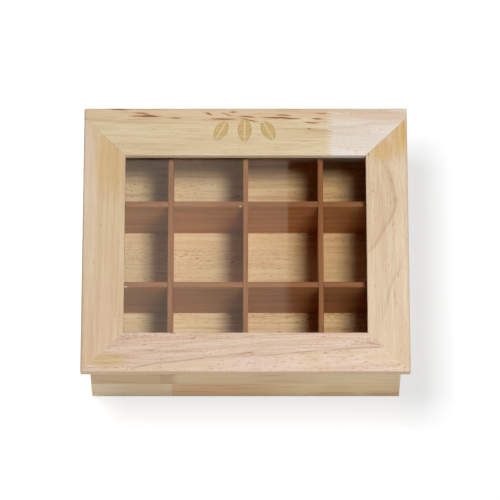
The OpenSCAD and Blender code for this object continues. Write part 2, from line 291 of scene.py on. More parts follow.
def open_pores(t, board, share):
    """Short dark dashes along the grain, crowded in some lanes."""
    crowd = board.lanes(7.0, 60.0, 12.0, 0.38, 0.66, detail=2.0, rough=0.5)
    amount = t.mul(t.add(0.35, t.mul(crowd, 0.65)), share)
    long_ones = board.dashes(120.0, 1000.0, amount, 31.0)
    short_ones = board.dashes(260.0, 1900.0, t.mul(amount, 1.5), 47.0)
    return t.math("MAXIMUM", long_ones, t.mul(short_ones, 0.8))


def wood(node, name, axes, seed, tones, turn=0.0, traits=PLAIN, rings=FLAT_RINGS, patches=(), marks=None,
         roughness=0.5, coat=0.12):
    """Makes a node a board of solid wood. tones are its light, middle and dark colours in sRGB, turn is the
    angle between its grain and its length, and each patch is a colour, its spots and its strength. marks is a
    function that adds what is special to one board."""
    t = Tree(name)
    board = Board(t, axes, centre_of(node), seed, turn)
    light, middle, dark = (linear(tone) for tone in tones)

    # Broad clouds of colour, growth rings and the patches
    clouds = t.noise(board.stretched(4.0, 24.0), detail=3.0, rough=0.55)
    colour = t.mix(t.mul(t.fade(clouds, 0.36, 0.64), traits["clouds"]), middle, light)
    stain = board.lanes(3.0, 17.0, 61.0, 0.50, 0.72)
    colour = t.mix(t.mul(stain, traits["clouds"] * 0.35), colour, dark)
    colour = t.mix(t.mul(growth_rings(t, board, rings), traits["rings"]), colour, dark)
    for patch_colour, spots, strength in patches:
        colour = t.mix(t.mul(board.patch(spots), strength), colour, linear(patch_colour))

    # Fibres: long soft streaks and short fine ones
    streaks = t.noise(board.stretched(9.0, 210.0, 15.0), detail=3.0, rough=0.6)
    fibre = t.noise(board.stretched(34.0, 900.0, 2.0), detail=3.0, rough=0.65)
    both = t.add(t.mul(streaks, 0.5), t.mul(fibre, 0.5))
    tint = t.mix(t.fade(both, 0.34, 0.66), FIBRE_DARK, FIBRE_LIGHT)
    colour = t.mix(traits["fibres"], colour, tint, "OVERLAY")

    pore = open_pores(t, board, traits["pores"])
    colour = t.mix(t.mul(pore, traits["pore_depth"]), colour, t.tinted(colour, PORE_TINT))
    if marks:
        colour = marks(t, board, colour)

    # The lacquer sinks into the pores and lies thicker between them
    height = t.sub(t.mul(fibre, 0.3), t.mul(pore, 0.8))
    sheen = t.add(roughness - 0.06, t.add(t.mul(fibre, 0.10), t.mul(pore, 0.18)))
    shader = t.principled(
        Base_Color=colour,
        Roughness=sheen,
        Specular_IOR_Level=0.35,
        Coat_Weight=coat,
        Coat_Roughness=0.38,
        Normal=t.bump(height, GRAIN_DEPTH, 0.5),
    )
    give(node, t.finish(shader))


# Mitres of the lid: (x, y) of the window's corner, and the direction outwards
MITRES = [((side * WINDOW_RIGHT, y), (side, way))
          for side in (-1, 1) for y, way in ((WINDOW_FRONT, -1), (WINDOW_REAR, 1))]
GLUE_TONE = (134, 104, 72)


def glue_lines(t, board, colour):
    """A hairline where a board meets the next one at the lid's mitres, closed up tighter at the front."""
    near = 1.0
    for (x, y), (way_x, way_y) in MITRES:
        dx = t.mul(t.sub(board.x, x), way_x)
        dy = t.mul(t.sub(board.y, y), way_y)
        far = t.math("ABSOLUTE", t.sub(dx, dy))
        outside = t.fade(dx, -0.5 * MM, 0.0, 20.0 * MM, 0.0)
        near = t.math("MINIMUM", near, t.add(far, outside))
    open_share = t.fade(board.y, -50.0 * MM, 50.0 * MM, 0.10, 0.32)
    seen = t.mul(t.fade(near, 0.1 * MM, 0.5 * MM, 1.0, 0.0), open_share)
    return t.mix(seen, colour, linear(GLUE_TONE))


def streaks_near(t, board, streaks, rise=None, ragged=2.2):
    """How far outside the nearest streak a point is, in millimetres. A streak is (x, y) of one end, (x, y) of
    the other and its width, and it narrows towards its ends. rise is the second axis where that isn't y."""
    wobble = t.mul(t.sub(t.noise(board.stretched(60.0, 60.0, 71.0), detail=3.0, rough=0.6), 0.5), ragged)
    x = t.mul(board.x, 1 / MM)
    y = t.add(t.mul(rise or board.y, 1 / MM), wobble)
    nearest = 100.0
    for (x0, y0), (x1, y1), width in streaks:
        share = t.math("DIVIDE", t.sub(x, x0), x1 - x0, clamp=True)
        dx = t.mul(t.sub(x, t.add(x0, t.mul(share, x1 - x0))), 0.3)
        dy = t.sub(y, t.add(y0, t.mul(share, y1 - y0)))
        far = t.math("SQRT", t.add(t.mul(dx, dx), t.mul(dy, dy)))
        belly = t.mul(t.mul(share, t.sub(1.0, share)), 2.0 * width)
        nearest = t.math("MINIMUM", nearest, t.sub(far, belly))
    return nearest


# Dark heart streaks in the rear rail: (x, y) of each end in millimetres, and the width
HEART_STREAKS = [
    ((-142.6, 145.2), (-117.8, 144.0), 1.1),
    ((-112.8, 140.3), (-99.2, 139.3), 1.2),
    ((-116.6, 136.8), (-87.4, 136.6), 1.5),
    ((-104.1, 138.0), (-91.7, 137.3), 0.8),
    ((-76.9, 135.0), (-67.0, 134.5), 0.7),
    ((-41.0, 140.4), (-34.6, 138.3), 1.1),
    ((-23.5, 140.3), (-14.9, 136.9), 0.5),
    ((-15.5, 141.0), (-9.9, 141.3), 1.1),
    ((-34.6, 133.9), (-11.0, 133.2), 0.9),
    ((-5.0, 136.6), (9.0, 135.3), 0.7),
    ((-4.8, 134.3), (11.4, 130.5), 0.8),
    ((15.2, 135.6), (55.6, 133.8), 1.3),
    ((31.6, 138.3), (45.5, 137.4), 0.6),
    ((72.0, 140.1), (83.3, 139.7), 0.6),
    ((68.2, 134.2), (78.3, 133.6), 0.9),
    ((60.6, 129.7), (74.5, 129.4), 0.9),
    ((63.1, 122.6), (66.7, 122.1), 0.7),
]

# Leaves burned into the rear rail: (x, y) of the middle, length and width in millimetres, and slant in degrees
LEAVES = [
    ((-25.0, 120.5), 25.0, 13.5, 62.0),
    ((-1.0, 121.0), 28.0, 14.5, 90.0),
    ((23.0, 120.5), 25.0, 13.5, 118.0),
]
VEIN_GAP = 3.6


def leaf(t, board, middle, length, width, slant):
    """A pointed oval with its midrib and side veins left bare, as a mask on the board's face."""
    turn = math.radians(slant)
    dx = t.sub(board.x, middle[0] * MM)
    dy = t.sub(board.y, middle[1] * MM)
    along = t.add(t.mul(dx, math.cos(turn)), t.mul(dy, math.sin(turn)))
    across = t.sub(t.mul(dy, math.cos(turn)), t.mul(dx, math.sin(turn)))
    # Two arcs that meet in a point at each end
    half, belly = length / 2 * MM, width / 2 * MM
    radius = (half**2 + belly**2) / (2 * belly)
    aside = t.math("ABSOLUTE", across)
    sideways = t.add(aside, radius - belly)
    far = t.math("SQRT", t.add(t.mul(along, along), t.mul(sideways, sideways)))
    inside = t.fade(far, radius - 0.2 * MM, radius + 0.2 * MM, 1.0, 0.0)
    rib = t.fade(aside, 0.5 * MM, 0.9 * MM)
    step = t.math("FRACT", t.math("DIVIDE", t.sub(along, t.mul(aside, 0.9)), VEIN_GAP * MM))
    vein = t.fade(t.math("ABSOLUTE", t.sub(step, 0.5)), 0.07, 0.12)
    vein = t.math("MAXIMUM", vein, t.fade(far, radius - 1.6 * MM, radius - 1.1 * MM))
    return t.mul(t.mul(inside, rib), vein)


# The colour of the painted shade on the lid's upright outer faces
EDGE_FACE_SHADE_TONE = (196, 163, 121)


def lid_marks(t, board, colour):
    """Glue lines, and painted shade: the lid's outer faces a little browner than its top."""
    colour = glue_lines(t, board, colour)
    side = t.math("MAXIMUM", t.sub(t.math("ABSOLUTE", board.x), LID_RIGHT - 0.9 * MM),
                  t.sub(t.math("ABSOLUTE", board.y), LID_REAR - 0.9 * MM))
    lanes = board.lanes(9.0, 420.0, 58.0, 0.35, 0.65, rough=0.5)
    tone = t.mix(lanes, linear([c * 0.93 for c in EDGE_FACE_SHADE_TONE]), linear(EDGE_FACE_SHADE_TONE))
    return t.mix(t.fade(side, 0.0, 0.6 * MM, 0.0, 0.75), colour, tone)


# Tones of the rear rail: its blushing band, the burned leaves, its threads and lanes, and its streaks
BAND_TONE = (222, 190, 158)
BURN_DARK, BURN_LIGHT = (182, 146, 74), (206, 172, 104)
RUST_THREAD = (198, 144, 98)
BROWN_LANE = (184, 144, 104)
STREAK_HALO, STREAK_CORE = (210, 146, 88), (112, 64, 44)


def burned_leaves(t, board, colour):
    """The leaves, burned into the rail's top, with the grain showing through."""
    burned = 0.0
    for middle, length, width, slant in LEAVES:
        burned = t.math("MAXIMUM", burned, leaf(t, board, middle, length, width, slant))
    top_only = t.fade(board.z, LID_TOP - 1.0 * MM, LID_TOP - 0.5 * MM)
    grain = board.lanes(30.0, 700.0, 77.0, 0.3, 0.65, rough=0.5)
    gold = t.mix(grain, linear(BURN_DARK), linear(BURN_LIGHT))
    return t.mix(t.mul(t.mul(burned, top_only), 0.88), colour, gold)


def heart_streaks(t, board, colour):
    """Dark heart streaks: an orange halo round a broken dark core."""
    near = streaks_near(t, board, HEART_STREAKS)
    broken = board.lanes(55.0, 1500.0, 88.0, 0.40, 0.52, detail=2.0, rough=0.5)
    halo = t.mul(t.fade(near, -0.1, 1.5, 1.0, 0.0), t.add(0.32, t.mul(broken, 0.42)))
    core = t.mul(t.fade(near, -0.1, 0.30, 1.0, 0.0), t.add(0.42, t.mul(broken, 0.55)))
    return t.mix(core, t.mix(halo, colour, linear(STREAK_HALO)), linear(STREAK_CORE))


def rear_rail_marks(t, board, colour):
    """A blushing band along the rear edge with rusty threads, the leaves, brown lanes and heart streaks."""
    band = t.fade(board.y, 131.5 * MM, 136.5 * MM)
    colour = t.mix(t.mul(band, 0.45), colour, linear(BAND_TONE))
    colour = burned_leaves(t, board, colour)
    threads = board.lanes(26.0, 620.0, 83.0, 0.57, 0.66, detail=2.0, rough=0.5)
    threads = t.mul(threads, t.fade(board.y, 127.0 * MM, 133.0 * MM))
    threads = t.mul(threads, t.fade(board.x, 50.0 * MM, 90.0 * MM, 1.0, 0.35))
    colour = t.mix(t.mul(threads, 0.45), colour, linear(RUST_THREAD))
    # The brown lanes lie in the right half, between the band and the window
    lanes = t.mul(board.lanes(13.0, 240.0, 85.0, 0.52, 0.64), t.fade(board.x, 0.0, 60.0 * MM))
    lanes = t.mul(lanes, t.fade(board.y, 125.0 * MM, 135.0 * MM, 1.0, 0.3))
    colour = t.mix(t.mul(lanes, 0.44), colour, linear(BROWN_LANE))
    return lid_marks(t, board, heart_streaks(t, board, colour))


# The two lines that cross the front rail where its flat-sawn part begins: (x, y) in millimetres
RAIL_LINES = [
    [(-118.0, -142.5), (-96.0, -138.5), (-74.0, -135.6), (-38.0, -130.8), (-2.0, -126.2), (12.0, -124.2)],
    [(8.0, -130.3), (24.6, -128.3), (56.0, -125.2), (90.0, -122.4), (139.2, -119.3)],
]

# Tones of the front rail: its mottled pale part, its pink lanes, threads and dashes, and the two lines
MOTTLE_YELLOW, MOTTLE_PINK = (228, 204, 166), (238, 214, 200)
PINK_LANE = (204, 160, 132)
PINK_THREAD = (186, 146, 116)
DASH_TONE = (168, 128, 94)
RAIL_LINE_TONE = (162, 114, 84)


def in_metres(places):
    return [(a * MM, b * MM) for a, b in places]


def rail_lines(t, board, colour):
    """The lines between the two parts of the rail, each sharp below, soft above and fading at its ends."""
    wobble = t.mul(t.sub(t.noise(board.stretched(70.0, 70.0, 98.0), detail=3.0), 0.5), 1.6 * MM)
    patchy = t.fade(t.noise(board.stretched(40.0, 300.0, 99.0), detail=2.0), 0.3, 0.6, 0.45, 1.0)
    for places in map(in_metres, RAIL_LINES):
        over = t.sub(t.add(board.y, wobble), t.curve(board.x, places))
        start, end = places[0][0], places[-1][0]
        drawn = t.mul(t.fade(over, -0.8 * MM, -0.2 * MM), t.fade(over, 0.1 * MM, 1.6 * MM, 1.0, 0.0))
        drawn = t.mul(drawn, t.fade(board.x, start, start + 20.0 * MM))
        drawn = t.mul(drawn, t.fade(board.x, end - 8.0 * MM, end, 1.0, 0.0))
        colour = t.mix(t.mul(t.mul(drawn, patchy), 0.50), colour, linear(RAIL_LINE_TONE))
    return colour


def front_rail_marks(t, board, colour):
    """Pale flat-sawn wood with many pores below a slanting line, and straight fine streaks above it."""
    line = t.add(t.mul(board.x, 0.085), -129.2 * MM)
    waver = t.mul(t.sub(t.noise(board.stretched(20.0, 40.0, 91.0), detail=2.0), 0.5), 8.0 * MM)
    below = t.fade(t.sub(t.sub(board.y, line), waver), -3.0 * MM, 2.0 * MM, 1.0, 0.0)
    above = t.sub(1.0, below)
    mottle = board.lanes(26.0, 60.0, 93.0, 0.40, 0.60, rough=0.5)
    pale = t.mix(mottle, linear(MOTTLE_YELLOW), linear(MOTTLE_PINK))
    colour = t.mix(t.mul(below, 0.42), colour, pale)
    lanes = board.lanes(8.0, 330.0, 95.0, 0.5, 0.68, detail=2.0)
    colour = t.mix(t.mul(t.mul(lanes, above), 0.28), colour, linear(PINK_LANE))
    threads = board.lanes(17.0, 900.0, 96.0, 0.56, 0.64, detail=2.0, rough=0.5)
    colour = t.mix(t.mul(t.mul(threads, above), 0.40), colour, linear(PINK_THREAD))
    dashes = board.dashes(150.0, 760.0, t.add(0.006, t.mul(below, 0.034)), 97.0)
    colour = t.mix(t.mul(dashes, 0.48), colour, linear(DASH_TONE))
    return lid_marks(t, board, rail_lines(t, board, colour))


# Lines of the right stile's figure, the strong one first: (y, x) in millimetres, and how strongly each shows
STILE_LINES = [
    ([(-24.0, 119.0), (-15.7, 126.0), (-8.0, 131.1), (3.1, 137.7), (12.5, 142.7), (23.5, 149.0),
      (38.5, 153.2), (56.7, 151.3), (75.0, 146.3), (84.9, 141.2), (95.4, 135.1)], 0.62),
    ([(-105.3, 136.1), (-88.7, 139.2), (-77.7, 141.2), (-61.1, 145.3), (-45.6, 150.3), (-34.5, 156.4),
      (-17.9, 161.5), (-10.0, 164.0)], 0.36),
]
ECHO_GAP = 5.8
STILE_LANE = (208, 172, 130)
STILE_LINE_TONE = (170, 126, 82)


def right_stile_marks(t, board, colour):
    """The figure's lines beside the window, each dark within its outer edge, with fainter ones inside."""
    lanes = board.lanes(5.0, 260.0, 44.0, 0.52, 0.70, detail=2.0)
    colour = t.mix(t.mul(lanes, 0.25), colour, linear(STILE_LANE))
    wobble = t.mul(t.sub(t.noise(board.stretched(45.0, 70.0, 45.0), detail=3.0), 0.5), 3.0 * MM)
    uneven = board.lanes(22.0, 60.0, 49.0, 0.36, 0.60)
    for line_places, strength in STILE_LINES:
        places = in_metres(line_places)
        inside = t.sub(t.add(t.curve(board.y, places), wobble), board.x)
        start, end = places[0][0], places[-1][0]
        reach = t.mul(t.fade(board.y, start, start + 20.0 * MM),
                      t.fade(board.y, end - 35.0 * MM, end, 1.0, 0.25))
        line = t.mul(t.fade(inside, -1.0 * MM, 0.4 * MM), t.fade(inside, 0.6 * MM, 4.2 * MM, 1.0, 0.0))
        shade = t.mul(t.fade(inside, -0.4 * MM, 0.6 * MM), t.fade(inside, 1.0 * MM, 14.0 * MM, 1.0, 0.0))
        step = t.math("FRACT", t.math("DIVIDE", inside, ECHO_GAP * MM))
        echoes = t.fade(t.math("ABSOLUTE", t.sub(step, 0.5)), 0.0, 0.18, 1.0, 0.0)
        echoes = t.mul(echoes, t.fade(inside, 1.0 * MM, 4.0 * MM))
        echoes = t.mul(echoes, t.fade(inside, 12.0 * MM, 24.0 * MM, 1.0, 0.0))
        drawn = t.mul(line, t.add(0.28, t.mul(uneven, 0.22)))
        drawn = t.add(drawn, t.add(t.mul(shade, 0.20), t.mul(echoes, 0.16)))
        colour = t.mix(t.mul(t.mul(drawn, reach), strength), colour, linear(STILE_LINE_TONE))
    return lid_marks(t, board, colour)


# Pale splinters on the upper edges of the cross dividers: (x, y), half width and half depth in millimetres
SPLINTERS = [(-5.2, 41.9, 1.3, 0.9), (-121.0, -47.4, 1.8, 1.1)]

# Tones of the dividers' lanes, their worn tops and the splinters, and the tint of their upper edges
DIVIDER_DARK, DIVIDER_LIGHT = (146, 92, 54), (212, 156, 100)
CREST_TINT = (196, 184, 174)
WORN_TONE = (190, 138, 104)
SPLINTER_TONE = (226, 200, 168)


def divider_marks(t, board, colour):
    """Streaks along the grain, a darker, redder top edge with worn places, and the splinters."""
    streaks = t.noise(board.stretched(4.0, 130.0, 62.0), detail=4.0, rough=0.62)
    colour = t.mix(t.mul(t.fade(streaks, 0.50, 0.62), 0.34), colour, linear(DIVIDER_DARK))
    colour = t.mix(t.mul(t.fade(streaks, 0.36, 0.48, 1.0, 0.0), 0.30), colour, linear(DIVIDER_LIGHT))
    crest = t.fade(board.z, DIVIDER_TOP - 1.2 * MM, DIVIDER_TOP - 0.3 * MM)
    colour = t.mix(t.mul(crest, 0.9), colour, t.tinted(colour, CREST_TINT))
    worn = board.lanes(12.0, 300.0, 66.0, 0.46, 0.68, rough=0.5)
    colour = t.mix(t.mul(t.mul(crest, worn), 0.22), colour, linear(WORN_TONE))
    chip = t.mul(board.patch(SPLINTERS), t.fade(board.z, DIVIDER_TOP - 1.9 * MM, DIVIDER_TOP - 1.2 * MM))
    return t.mix(t.mul(chip, 0.9), colour, linear(SPLINTER_TONE))


def make_lid_woods():
    wood("lid_rear_rail", "rear_rail_wood", GRAIN_ALONG_X, 1.0,
         [(225, 206, 170), (216, 195, 159), (190, 156, 115)], turn=math.radians(-0.6),
         rings=((0.05, -0.11), 0.0068, 0.03, 0.010), marks=rear_rail_marks)
    wood("lid_rear_rail_end", "rear_rail_end_wood", GRAIN_ALONG_X, 2.0,
         [(236, 226, 216), (228, 214, 199), (202, 172, 146)], turn=math.radians(-3.0),
         rings=((-0.03, -0.14), 0.0075, 0.04, 0.009), marks=lid_marks,
         patches=[
             ((212, 180, 146), [(138.0, 137.0, 34.0, 7.0)], 0.55),
             ((220, 196, 164), [(100.0, 139.0, 20.0, 9.0)], 0.60),
         ])
    wood("lid_left_stile", "left_stile_wood", GRAIN_ALONG_Y, 3.0,
         [(224, 201, 167), (217, 191, 156), (192, 156, 118)], traits=CALM,
         rings=((0.06, -0.10), 0.0058, 0.02, 0.009), marks=lid_marks,
         patches=[
             ((226, 203, 180), [(-159.5, 60.0, 8.0, 90.0)], 0.65),
             ((212, 178, 124), [(-138.0, 84.0, 14.0, 40.0)], 0.70),
             ((216, 184, 156), [(-146.0, -88.0, 16.0, 40.0)], 0.6),
         ])
    wood("lid_right_stile", "right_stile_wood", GRAIN_ALONG_Y, 4.0,
         [(224, 203, 175), (218, 194, 164), (202, 164, 130)], traits=dict(PLAIN, rings=0.16, clouds=0.9),
         rings=((0.05, -0.10), 0.0064, 0.02, 0.010), marks=right_stile_marks,
         patches=[
             ((212, 176, 112), [(157.0, 116.0, 10.0, 24.0), (140.0, 100.0, 12.0, 14.0)], 0.7),
             ((206, 160, 88), [(161.0, 120.0, 2.5, 16.0)], 0.6),
         ])
    wood("lid_front_rail", "front_rail_wood", GRAIN_ALONG_X, 5.0,
         [(227, 203, 182), (217, 191, 168), (192, 153, 125)], turn=math.radians(2.5), traits=LIVELY,
         rings=((-0.02, -0.09), 0.0060, 0.05, 0.012), marks=front_rail_marks,
         patches=[((208, 180, 126), [(-137.0, -134.0, 20.0, 8.0)], 0.75)])
    wood("lid_mitre_tongues", "tongue_wood", GRAIN_ALONG_X, 6.0,
         [(196, 165, 125), (184, 152, 112), (150, 115, 80)])


# The front wall is glued up from strips, end to end above and below the seam. Each is its ends along x in
# millimetres, its tone, and how far its right end fades into the next one
WALL_SEAM = 34.0 * MM
UPPER_STRIPS = [
    (-160.0, -86.0, (184, 150, 104), 0.2),
    (-86.0, -70.0, (170, 134, 92), 5.0),
    (-70.0, 72.0, (203, 171, 123), 26.0),
    (72.0, 160.0, (216, 193, 150), 26.0),
]
LOWER_STRIPS = [
    (-160.0, -74.5, (214, 192, 156), 0.2),
    (-74.5, 40.0, (208, 162, 108), 30.0),
    (40.0, 160.0, (224, 192, 142), 22.0),
]

# Soft patches of the front wall: a tone, and its spots' (x, z), half widths and half heights in millimetres
WALL_PATCHES = [
    ((196, 168, 112), [(-103.0, 26.0, 20.0, 12.0), (92.0, 24.0, 14.0, 9.0)]),
    ((202, 186, 140), [(92.0, 48.0, 12.0, 9.0), (-60.0, 46.0, 14.0, 7.0)]),
    ((196, 148, 96), [(140.0, 8.0, 22.0, 6.0), (90.0, 6.0, 24.0, 5.0), (-30.0, 22.0, 34.0, 7.0)]),
]

# Streaks in the front wall: (x, z) of each end in millimetres, and the width
WALL_STREAKS = [
    ((-98.0, 57.0), (-64.0, 58.0), 1.6),
    ((-72.0, 30.0), (-22.0, 30.5), 2.2),
    ((-40.0, 29.0), (16.0, 31.0), 2.6),
    ((-75.0, 12.5), (-44.0, 14.0), 2.2),
    ((-52.0, 13.5), (-30.0, 12.0), 1.3),
    ((-20.0, 21.0), (22.0, 22.5), 1.2),
    ((6.0, 54.0), (38.0, 56.5), 2.0),
    ((12.0, 41.0), (58.0, 40.0), 1.6),
    ((30.0, 25.0), (58.0, 27.0), 1.4),
    ((66.0, 9.5), (110.0, 10.5), 2.0),
    ((124.0, 6.0), (153.0, 8.0), 2.4),
    ((-150.0, 40.0), (-100.0, 38.0), 1.5),
    ((-140.0, 21.0), (-118.0, 22.0), 0.9),
]

# Tones of the front wall's lanes, streaks and seam, and of the bottom panel's streaks and specks
WALL_LANE, WALL_STREAK, SEAM_TONE = (178, 138, 96), (152, 108, 66), (136, 104, 70)
FLOOR_STREAK, FLOOR_SPECK = (176, 128, 78), (146, 100, 60)
# The tint of the painted shade on the walls' inner faces
INNER_SHADE_TINT = (227, 206, 184)


def wall_strips(t, board, colour):
    """The strips' own tones. A strip starts as softly as the one before it ends."""
    above = t.fade(board.z, WALL_SEAM - 0.1 * MM, WALL_SEAM + 0.1 * MM)
    for strips, side in ((UPPER_STRIPS, above), (LOWER_STRIPS, t.sub(1.0, above))):
        before = 0.2
        for start, end, tone, soft in strips:
            inside = t.fade(board.x, (start - before) * MM, (start + before) * MM)
            inside = t.mul(inside, t.fade(board.x, (end - soft) * MM, (end + soft) * MM, 1.0, 0.0))
            colour = t.mix(t.mul(t.mul(inside, side), 0.72), colour, linear(tone))
            before = soft
    return colour


def front_wall_marks(t, board, colour):
    """The strips with their patches, long brown streaks and the glue line of the seam."""
    colour = wall_strips(t, board, colour)
    for tone, spots in WALL_PATCHES:
        share = board.patch(spots, board.z, grain=(16.0, 90.0, 54.0), ragged=1.2)
        colour = t.mix(t.mul(share, 0.42), colour, linear(tone))
    lanes = board.lanes(6.0, 260.0, 52.0, 0.52, 0.68)
    colour = t.mix(t.mul(lanes, 0.30), colour, linear(WALL_LANE))
    near = t.fade(streaks_near(t, board, WALL_STREAKS, board.z, 2.6), -0.4, 1.3, 1.0, 0.0)
    broken = t.fade(t.noise(board.stretched(40.0, 700.0, 57.0), detail=2.0), 0.36, 0.60, 0.4, 1.0)
    colour = t.mix(t.mul(t.mul(near, broken), 0.55), colour, linear(WALL_STREAK))
    seam = t.fade(t.math("ABSOLUTE", t.sub(board.z, WALL_SEAM)), 0.1 * MM, 0.6 * MM, 1.0, 0.0)
    return t.mix(t.mul(seam, 0.35), colour, linear(SEAM_TONE))


def floor_marks(t, board, colour):
    """Brown streaks in lanes across the panel, more of them towards its rear and front edges."""
    lanes = board.lanes(7.0, 210.0, 72.0, 0.51, 0.64, detail=4.0, rough=0.62)
    from_middle = t.math("ABSOLUTE", t.sub(board.y, 10.0 * MM))
    ends = t.fade(from_middle, 15.0 * MM, 60.0 * MM, 0.45, 1.0)
    colour = t.mix(t.mul(t.mul(lanes, ends), 0.42), colour, linear(FLOOR_STREAK))
    specks = board.dashes(95.0, 620.0, t.mul(ends, 0.020), 74.0)
    return t.mix(t.mul(specks, 0.45), colour, linear(FLOOR_SPECK))


def wall_marks(t, board, colour):
    """Painted shade: the inner faces warmer and darker than the outer ones and the tops."""
    out = t.math("MAXIMUM", t.sub(t.math("ABSOLUTE", board.x), SIDE_WALL_MIDDLE),
                 t.sub(t.math("ABSOLUTE", board.y), REAR_WALL_MIDDLE))
    inner_shade = t.mul(t.fade(out, -1.8 * MM, -0.8 * MM, 1.0, 0.0),
                t.fade(board.z, WALL_TOP - 1.2 * MM, WALL_TOP - 0.4 * MM, 1.0, 0.0))
    return t.mix(inner_shade, colour, t.tinted(colour, INNER_SHADE_TINT))


WALL_TONES = [(214, 188, 152), (204, 176, 140), (176, 138, 98)]
FLOOR_TONES = [(221, 188, 136), (215, 178, 123), (190, 142, 88)]
DIVIDER_TONES = [(202, 138, 82), (188, 123, 70), (142, 82, 42)]
DIVIDER_RINGS = ((0.03, -0.06), 0.0050, 0.04, 0.008)


def make_box_woods():
    wood("front_wall", "front_wall_wood", GRAIN_ALONG_X_UPRIGHT, 7.0, WALL_TONES, traits=CALM,
         rings=((0.03, -0.08), 0.0065, 0.03, 0.010), marks=front_wall_marks)
    for node, axes, seed, rings in (
        ("rear_wall", GRAIN_ALONG_X_UPRIGHT, 8.0, ((-0.02, 0.07), 0.0060, 0.03, 0.010)),
        ("left_wall", GRAIN_ALONG_Y_UPRIGHT, 9.0, ((0.02, 0.09), 0.0066, 0.03, 0.010)),
        ("right_wall", GRAIN_ALONG_Y_UPRIGHT, 10.0, ((0.01, -0.07), 0.0062, 0.04, 0.010)),
    ):
        wood(node, node + "_wood", axes, seed, WALL_TONES, rings=rings, marks=wall_marks)
    wood("bottom_panel", "floor_wood", GRAIN_ALONG_X, 11.0, FLOOR_TONES, traits=LIVELY,
         rings=((0.05, -0.12), 0.0085, 0.03, 0.016), roughness=0.55, coat=0.0, marks=floor_marks,
         # Painted light: the pale patch over the left of the panel ends where the pane's mirrored pale card
         # ends, and brightens the floor under that reflection
         patches=[((234, 211, 170), [(-80.0, 0.0, 120.0, 400.0)], 0.6)])
    for seed, (node, axes) in enumerate((
        ("long_divider_left", GRAIN_ALONG_Y_UPRIGHT),
        ("long_divider_middle", GRAIN_ALONG_Y_UPRIGHT),
        ("long_divider_right", GRAIN_ALONG_Y_UPRIGHT),
        ("cross_divider_front", GRAIN_ALONG_X_UPRIGHT),
        ("cross_divider_rear", GRAIN_ALONG_X_UPRIGHT),
    ), 12):
        wood(node, node + "_wood", axes, float(seed), DIVIDER_TONES, rings=DIVIDER_RINGS,
             marks=divider_marks, coat=0.08)


# The pane: the share that it mirrors when seen straight on, its tint, and its roughness, clean and smeared
PANE_MIRROR = 0.04
PANE_TINT = (0.992, 0.996, 0.994)
PANE_CLEAN, PANE_SMEARED = 0.01, 0.05


def make_pane():
    """Clear acrylic that mirrors a little, more at a low angle, with faint smears."""
    t = Tree("clear_acrylic")
    facing = t.node("ShaderNodeLayerWeight")
    t.set(facing.inputs["Blend"], 0.5)
    slanting = t.math("POWER", facing.outputs["Facing"], 5.0)
    mirrored = t.add(PANE_MIRROR, t.mul(slanting, 1.0 - PANE_MIRROR))
    board = Board(t, GRAIN_ALONG_X, centre_of("window_pane"), 17.0)
    smears = t.noise(board.stretched(9.0, 14.0), detail=3.0)
    clear = t.node("ShaderNodeBsdfTransparent")
    t.set(clear.inputs["Color"], PANE_TINT)
    gloss = t.node("ShaderNodeBsdfGlossy")
    t.set(gloss.inputs["Color"], (1.0, 1.0, 1.0))
    t.set(gloss.inputs["Roughness"], t.fade(smears, 0.4, 0.8, PANE_CLEAN, PANE_SMEARED))
    mixed = t.node("ShaderNodeMixShader")
    t.set(mixed.inputs[0], mirrored)
    t.set(mixed.inputs[1], clear.outputs[0])
    t.set(mixed.inputs[2], gloss.outputs[0])
    give("window_pane", t.finish(mixed))


# Metals: the tone in sRGB and the roughness
HINGE_BRASS = ((202, 172, 116), 0.30)
SCREW_BRASS = ((212, 184, 130), 0.26)
BRAD_STEEL = ((120, 112, 104), 0.45)
SCRATCH_DEPTH = 0.04 * MM


def metal(name, node, finish, grain=GRAIN_ALONG_X):
    """Rolled metal with fine scratches along it and a little tarnish."""
    tone, roughness = finish
    t = Tree(name)
    board = Board(t, grain, centre_of(node), 21.0)
    scratch = t.noise(board.stretched(150.0, 4000.0), detail=3.0, rough=0.6)
    tarnish = board.lanes(180.0, 260.0, 4.0, 0.45, 0.75, rough=0.5)
    colour = t.mix(t.mul(tarnish, 0.35), linear(tone), linear([c * 0.62 for c in tone]))
    shader = t.principled(
        Base_Color=colour,
        Metallic=1.0,
        Roughness=t.add(roughness - 0.05, t.add(t.mul(scratch, 0.14), t.mul(tarnish, 0.12))),
        Normal=t.bump(scratch, SCRATCH_DEPTH, 0.4),
    )
    give(node, t.finish(shader))


def make_metals():
    for side in ("left", "right"):
        for part in ("box_leaf", "lid_leaf", "pin"):
            node = f"{side}_hinge_{part}"
            metal(node + "_brass", node, HINGE_BRASS)
    for node in ("box_hinge_screws", "lid_hinge_screws"):
        metal(node + "_brass", node, SCREW_BRASS)
    metal("brad_steel", "wall_brads", BRAD_STEEL, GRAIN_ALONG_Y)


# Stage: the world's faint light, half the floor's side in metres, the gap under the box, the floor's grey,
# and how much of what the eye sees of the floor is its own glow
AMBIENT = 0.006
AMBIENT_TINT = (0.97, 0.98, 1.0)
FLOOR_HALF = 6.0
FLOOR_DROP = 0.05 * MM
FLOOR_GREY = (0.86, 0.86, 0.86)
FLOOR_GLOW = 0.735


